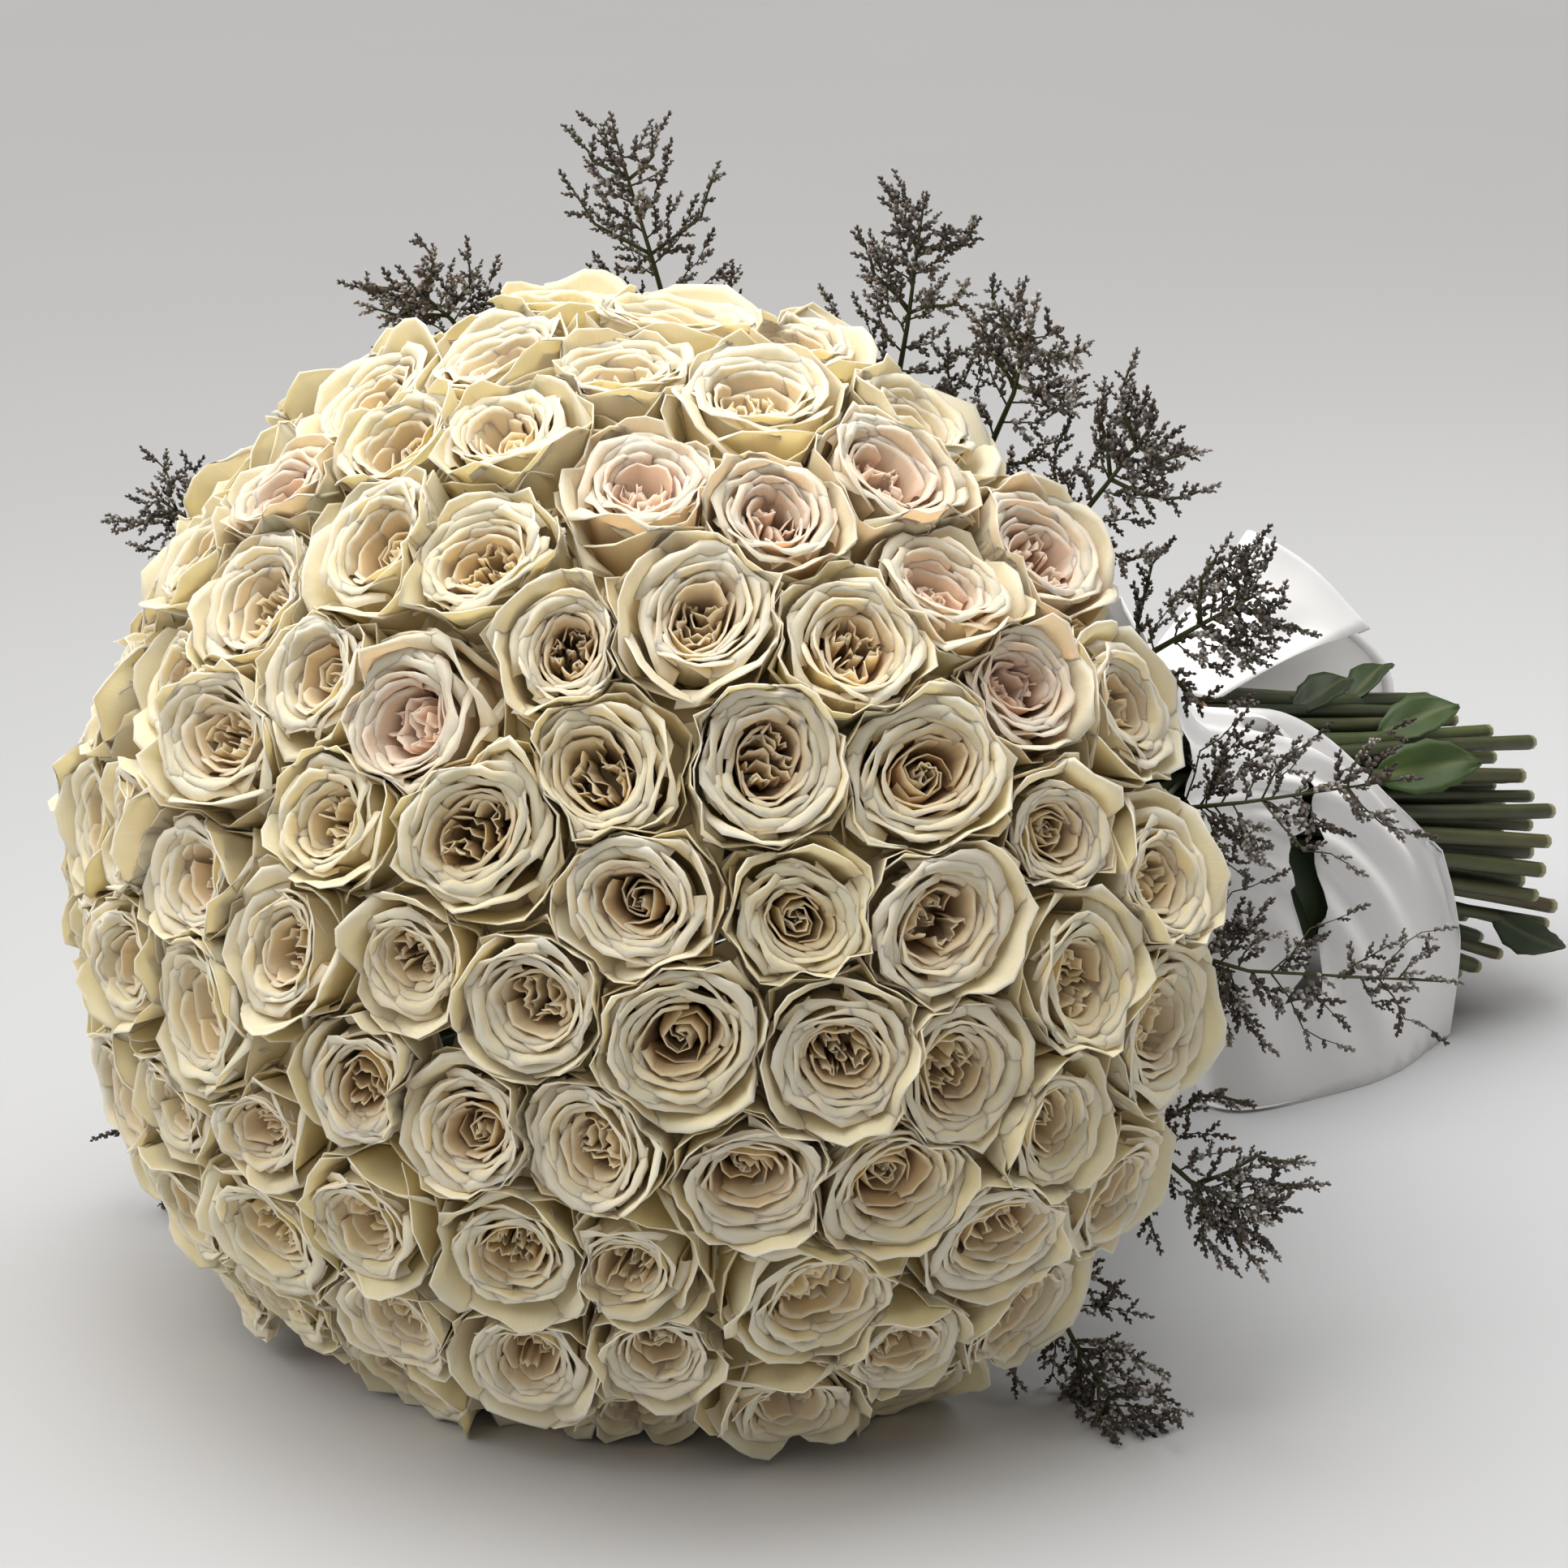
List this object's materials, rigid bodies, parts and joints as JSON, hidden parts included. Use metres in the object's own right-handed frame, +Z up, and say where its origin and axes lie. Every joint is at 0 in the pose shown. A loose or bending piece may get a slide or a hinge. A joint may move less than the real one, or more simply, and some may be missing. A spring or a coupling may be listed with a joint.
{
  "type": "rose bouquet",
  "caption": "Lying hand-tied bouquet of cupped cream and blush garden roses in a round dome, with a collar of sea lavender, a sheer wrap and cut stems.",
  "frame": {"origin": "on the surface it lies on, under the middle of the bouquet's bounding box", "axes": "+Z up; the cut stems run towards +Y; the dome of roses faces -Y, turned a little towards +X"},
  "size_m": [0.5483, 0.8352, 0.4854],
  "materials": {
    "petal_cream": "matte",
    "petal_blush": "matte",
    "stem_green": "satin",
    "twine_brown": "matte",
    "sea_lavender_grey": "matte",
    "wrap_white": "satin"
  },
  "bodies": {
    "root": {"binding_twine": "twine_brown", "rose_stems": "stem_green", "roses_blush_01": "petal_blush", "roses_blush_02": "petal_blush", "roses_blush_03": "petal_blush", "roses_blush_04": "petal_blush", "roses_blush_05": "petal_blush", "roses_cream_01": "petal_cream", "roses_cream_02": "petal_cream", "roses_cream_03": "petal_cream", "roses_cream_04": "petal_cream", "roses_cream_05": "petal_cream", "roses_cream_06": "petal_cream", "roses_cream_07": "petal_cream", "roses_cream_08": "petal_cream", "roses_cream_09": "petal_cream", "roses_cream_10": "petal_cream", "roses_cream_11": "petal_cream", "roses_cream_12": "petal_cream", "roses_cream_13": "petal_cream", "roses_cream_14": "petal_cream", "roses_cream_15": "petal_cream", "roses_cream_16": "petal_cream", "roses_cream_17": "petal_cream", "roses_cream_18": "petal_cream", "roses_cream_19": "petal_cream", "roses_cream_20": "petal_cream", "roses_cream_21": "petal_cream", "roses_cream_22": "petal_cream", "roses_cream_23": "petal_cream", "roses_cream_24": "petal_cream", "roses_cream_25": "petal_cream", "roses_cream_26": "petal_cream", "roses_cream_27": "petal_cream", "roses_cream_28": "petal_cream", "roses_cream_29": "petal_cream", "roses_cream_30": "petal_cream", "roses_cream_31": "petal_cream", "roses_cream_32": "petal_cream", "roses_cream_33": "petal_cream", "sea_lavender_01": "sea_lavender_grey", "sea_lavender_02": "sea_lavender_grey", "sea_lavender_03": "sea_lavender_grey", "sea_lavender_04": "sea_lavender_grey", "sea_lavender_05": "sea_lavender_grey", "sea_lavender_06": "sea_lavender_grey", "sea_lavender_07": "sea_lavender_grey", "sea_lavender_08": "sea_lavender_grey", "sea_lavender_09": "sea_lavender_grey", "sea_lavender_10": "sea_lavender_grey", "sea_lavender_11": "sea_lavender_grey", "sea_lavender_12": "sea_lavender_grey", "sea_lavender_13": "sea_lavender_grey", "sheer_wrap": "wrap_white"}
  },
  "joints": []
}
